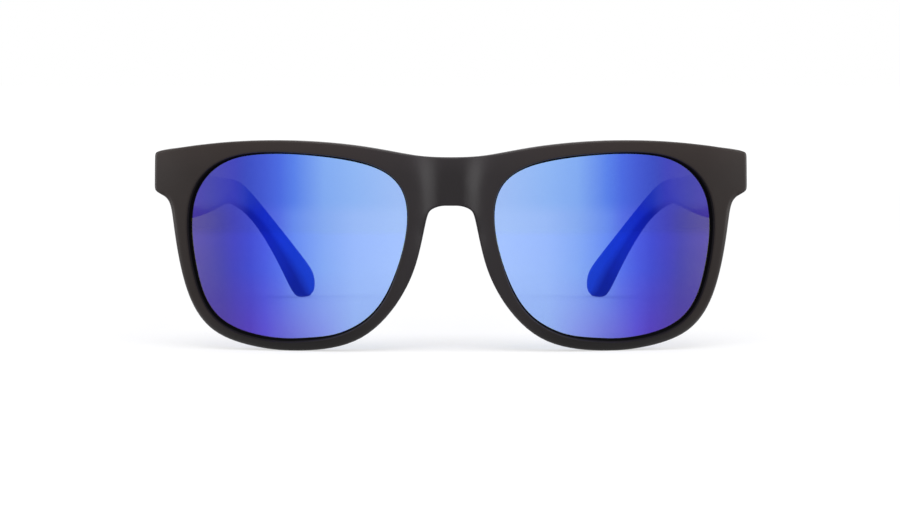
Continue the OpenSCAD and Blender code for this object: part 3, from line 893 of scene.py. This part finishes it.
# The same low down: painted reflection, more violet at the foot
LOW_STOPS = (
    (23.2, (0.297, 0.44, 0.53), "#96b3ec"),
    (30.6, (0.243, 0.31, 0.52), "#8598e5"),
    (37.9, (0.171, 0.18, 0.46), "#7379d8"),
    (45.2, (0.105, 0.077, 0.30), "#5e53cc"),
    (48.9, (0.06, 0.035, 0.22), "#5744b8"),
    (55.7, (0.04, 0.02, 0.04), "#54439b"),
)
COAT = 0.45             # share of the lens surface that the mirror coat takes
COAT_X = (10, 65)       # the stops' span from the nose
COAT_LOW, COAT_HIGH = (20, 5), (32.6, 37.2)     # heights at which the other stops take over
COAT_HAZE, VARNISH_HAZE = 16.667, 2.5           # patches that wiping leaves, in millimetres


def mirror_lens():
    """A tinted polycarbonate lens under a sputtered blue mirror coat: half clear at the nose,
    a closed violet mirror at the temple. The coat's colour across and up the lens is painted
    reflection of the surroundings at the changing angle."""
    material, tree, surface = new_material("mirror_coated_polycarbonate")
    coordinates = add(tree, "ShaderNodeTexCoord").outputs["Object"]
    place = add(tree, "ShaderNodeSeparateXYZ", {"Vector": coordinates}).outputs
    out = add(tree, "ShaderNodeMath", {0: place["X"]}, operation="ABSOLUTE").outputs["Value"]
    nose, temple = (x * MM for x in COAT_X)
    across = add(tree, "ShaderNodeMapRange", {
        "Value": out, "From Min": nose, "From Max": temple}).outputs["Result"]
    low = add(tree, "ShaderNodeMapRange", {
        "Value": place["Z"], "From Min": COAT_LOW[0] * MM, "From Max": COAT_LOW[1] * MM,
    }).outputs["Result"]
    high = add(tree, "ShaderNodeMapRange", {
        "Value": place["Z"], "From Min": COAT_HIGH[0] * MM, "From Max": COAT_HIGH[1] * MM,
    }, interpolation_type="SMOOTHSTEP").outputs["Result"]

    def through(clear, whole):
        """The tint's own colour, over the share that the coat leaves free."""
        return tuple(c / (1 - COAT) for c in clear)

    def mirrored(clear, whole):
        """The coat's colour, once the tint's light is taken off: painted reflection."""
        return tuple(max(w - c, 0.001) / COAT for c, w in zip(clear, whole))

    def across_lens(rows, pick):
        """One row of stops as a colour across the lens."""
        return add(tree, "ShaderNodeValToRGB", {"Fac": across}, [
            ((x * MM - nose) / (temple - nose), pick(clear, linear(code)) + (1,))
            for x, clear, code in rows]).outputs["Color"]

    colours = []
    for pick in (through, mirrored):
        whole = across_lens(MIRROR_STOPS, pick)
        for share, rows in ((low, LOW_STOPS), (high, HIGH_STOPS)):
            whole = add(tree, "ShaderNodeMixRGB", {
                "Fac": share, "Color1": whole, "Color2": across_lens(rows, pick),
            }).outputs["Color"]
        colours.append(whole)
    haze = add(tree, "ShaderNodeTexNoise", {
        "Vector": coordinates, "Scale": cells(COAT_HAZE), "Detail": 2.0}).outputs["Fac"]
    rough = add(tree, "ShaderNodeMapRange", {
        "Value": haze, "To Min": 0.03, "To Max": 0.07}).outputs["Result"]
    tint = add(tree, "ShaderNodeBsdfTransparent", {"Color": colours[0]})
    coat = add(tree, "ShaderNodeBsdfPrincipled", {
        "Base Color": colours[1], "Metallic": 1.0, "Roughness": rough})
    both = add(tree, "ShaderNodeMixShader", {
        0: COAT, 1: tint.outputs["BSDF"], 2: coat.outputs["BSDF"]})
    tree.links.new(both.outputs["Shader"], surface)
    return material


def lens_backing():
    """The lens's inner face under a hard clear varnish: nearly invisible, with a thin gloss."""
    material, tree, surface = new_material("varnished_polycarbonate")
    haze = add(tree, "ShaderNodeTexNoise", {
        "Vector": add(tree, "ShaderNodeTexCoord").outputs["Object"],
        "Scale": cells(VARNISH_HAZE), "Detail": 2.0}).outputs["Fac"]
    rough = add(tree, "ShaderNodeMapRange", {
        "Value": haze, "To Min": 0.04, "To Max": 0.1}).outputs["Result"]
    shader = add(tree, "ShaderNodeBsdfPrincipled", {
        "Base Color": linear("#7f93c8"), "Roughness": rough, "IOR": 1.58, "Alpha": 0.04})
    tree.links.new(shader.outputs["BSDF"], surface)
    return material


# The lines of rolling and turning run level and are this many times as long as wide. Real
# ones are about 0.01 mm wide, and are drawn up to eight times as coarse, so that they show.
LINE_STRETCH = 14.0
STAIN, STAIN_TONE = 6.25, 0.8           # a tarnished patch's length, and how dark it is


def metal(name, colour, roughness, line):
    """Bare metal as rolled, turned or drawn: its colour, slightly tarnished in patches, with
    fine lines of a length in millimetres."""
    material, tree, surface = new_material(name)
    place = add(tree, "ShaderNodeMapping", {
        "Vector": add(tree, "ShaderNodeTexCoord").outputs["Object"],
        "Scale": (1.0, 1.0, LINE_STRETCH)}).outputs["Vector"]
    lines = add(tree, "ShaderNodeTexNoise", {
        "Vector": place, "Scale": cells(line), "Detail": 4.0, "Roughness": 0.6,
    }).outputs["Fac"]
    stain = add(tree, "ShaderNodeTexNoise", {
        "Vector": place, "Scale": cells(STAIN), "Detail": 3.0}).outputs["Fac"]
    tone = add(tree, "ShaderNodeValToRGB", {"Fac": stain}, [
        (0.3, toned(linear(colour), STAIN_TONE)), (0.65, linear(colour)),
    ]).outputs["Color"]
    rough = add(tree, "ShaderNodeMapRange", {
        "Value": lines, "From Min": 0.3, "From Max": 0.7,
        "To Min": roughness - 0.06, "To Max": roughness + 0.1}).outputs["Result"]
    bump = add(tree, "ShaderNodeBump", {
        "Height": lines, "Strength": 0.2, "Distance": 0.02 * MM}).outputs["Normal"]
    shader = add(tree, "ShaderNodeBsdfPrincipled", {
        "Base Color": tone, "Metallic": 1.0, "Roughness": rough, "Normal": bump})
    tree.links.new(shader.outputs["BSDF"], surface)
    return material


# Nylon, moulded and left as it comes: a dry dark grey with soft light along its forms, and
# painted light and shade in its colour by height and by distance from the nose
front_plastic = moulded("moulded_black_nylon", black_nylon_and_painted_light, 0.36, 0.2)
# The same nylon on the lip round each lens, in painted shade near black where the recess lies
# in shadow, so that the mirror ends in a dark line; the painted shade is half as deep where the
# lip begins
lip_painted_half_shade = moulded("painted_half_shade_lip_edge", "#19171a", 0.7, 0.05)
lip_painted_shade = moulded("painted_shade_lip", "#060608", 0.85, 0.03)
# Nylon in two shots, black outside and blue inside under clear lacquer: matt seen from
# outside, and a glossy blue through the lenses and from behind
temple_plastic = moulded("two_shot_nylon", two_tone_and_shade, 0.42, 0.15, lacquer_left)
# Polycarbonate with its mirror coat in front, clear varnish behind and a black ground edge
mirror_coat = mirror_lens()
lens_back = lens_backing()
lens_edge_black = moulded("ground_lens_edge", "#06060c", 0.5, 0.2)
# Rolled strip for the hinges: a warm grey with a brushed gloss
nickel_silver = metal("rolled_nickel_silver", "#a9a69e", 0.34, 1.1111)
# Turned rod for the screws: paler and brighter than the leaves round them
screw_steel = metal("turned_stainless_steel", "#b4b5b8", 0.26, 0.625)
# Drawn wire for the cores, which the temples hide: an even grey
wire_steel = metal("drawn_stainless_steel", "#a3a5a8", 0.3, 0.8333)

# ---------------------------------------------------------------- the camera

CAMERA_LENS = 99.8
CAMERA_BACK, CAMERA_UP = 0.6, 0.074     # metres in front of the face and above the table
CAMERA_DIP = 4.73                       # degrees below level
FRAME_W, CAMERA_SIDE = 900, 0.8         # the frame's width, and the shift in parts of it

camera = bpy.data.objects.new("camera", bpy.data.cameras.new("camera"))
bpy.context.scene.collection.objects.link(camera)
bpy.context.scene.camera = camera
camera.data.lens = CAMERA_LENS
camera.data.shift_x = -CAMERA_SIDE / FRAME_W
camera.location = (0, -HOME_Y * MM - CAMERA_BACK, CAMERA_UP)
camera.rotation_euler = (math.radians(90 - CAMERA_DIP), 0, 0)
bpy.context.scene.view_settings.view_transform = "Standard"

# ---------------------------------------------------------------- the glasses

make_front()
for side, sign in SIDES.items():
    make_lens(side, sign)
    make_temple(side, sign)

for name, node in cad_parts.items():
    if "screw" in name:
        finish = screw_steel
    elif "hinge" in name:
        finish = nickel_silver
    elif "core" in name:
        finish = wire_steel
    else:
        continue
    for slot in node.material_slots:
        slot.material = finish


# ---------------------------------------------------------------- light and floor, in metres

def lamp(name, place, aim, size, power):
    """A soft rectangular lamp."""
    data = bpy.data.lights.new(name, "AREA")
    data.shape = "RECTANGLE"
    data.size, data.size_y = size
    data.energy = power
    obj = bpy.data.objects.new(name, data)
    bpy.context.scene.collection.objects.link(obj)
    obj.location = place
    obj.rotation_euler = (Vector(aim) - Vector(place)).to_track_quat("-Z", "Y").to_euler()


def shown(tree, lit):
    """1 to the camera, in reflections and through glass, and less as light on the object."""
    paths = add(tree, "ShaderNodeLightPath").outputs
    seen = paths["Is Camera Ray"]
    for name in ("Is Glossy Ray", "Is Transmission Ray"):
        seen = add(tree, "ShaderNodeMath", {
            0: seen, 1: paths[name]}, operation="MAXIMUM").outputs["Value"]
    return add(tree, "ShaderNodeMapRange", {
        "Value": seen, "To Min": lit, "To Max": 1.0}).outputs["Result"]


WHITE = (1, 1, 1, 1)
SKY_LIT, FLOOR_LIT = 0.55, 0.2          # what world and floor give as light on the object

# A soft lamp over the front, and an upright strip on each side that draws the bridge's hollow
lamp("key_over", (0.05, -0.5, 1.1), (0, -0.03, 0.03), (0.9, 0.6), 6.5)
for side, sign in SIDES.items():
    lamp(f"strip_{side}", (sign * 0.81, -0.17, 0.2), (0, -0.07, 0.04), (0.32, 0.7), 5.3)

world = bpy.data.worlds.new("pale_studio")
bpy.context.scene.world = world
world.use_nodes = True
tree = world.node_tree
tree.nodes.clear()
sky = add(tree, "ShaderNodeBackground", {"Color": WHITE, "Strength": shown(tree, SKY_LIT)})
add(tree, "ShaderNodeOutputWorld", {"Surface": sky.outputs["Background"]})

floor_mesh = bpy.data.meshes.new("pale_floor")
floor_mesh.from_pydata([(-3, -2, 0), (3, -2, 0), (3, 4, 0), (-3, 4, 0)], [], [(0, 1, 2, 3)])
floor = bpy.data.objects.new("pale_floor", floor_mesh)
bpy.context.scene.collection.objects.link(floor)

# Matt white board that keeps the shadow, with a glow that grows away from the glasses, so
# that it runs into the white of the world
material, tree, surface = new_material("white_table")
away = add(tree, "ShaderNodeVectorMath", {
    0: add(tree, "ShaderNodeTexCoord").outputs["Object"]}, operation="LENGTH")
white = add(tree, "ShaderNodeMapRange", {
    "Value": away.outputs["Value"], "From Min": 0.15, "From Max": 1.0,
    "To Min": 0.6, "To Max": 0.82}).outputs["Result"]
strength = add(tree, "ShaderNodeMath", {
    0: shown(tree, FLOOR_LIT), 1: white}, operation="MULTIPLY").outputs["Value"]
paint = add(tree, "ShaderNodeBsdfDiffuse", {"Color": linear("#a4a4a6")})
glow = add(tree, "ShaderNodeEmission", {"Color": WHITE, "Strength": strength})
both = add(tree, "ShaderNodeAddShader", {
    0: paint.outputs["BSDF"], 1: glow.outputs["Emission"]})
tree.links.new(both.outputs["Shader"], surface)
floor_mesh.materials.append(material)
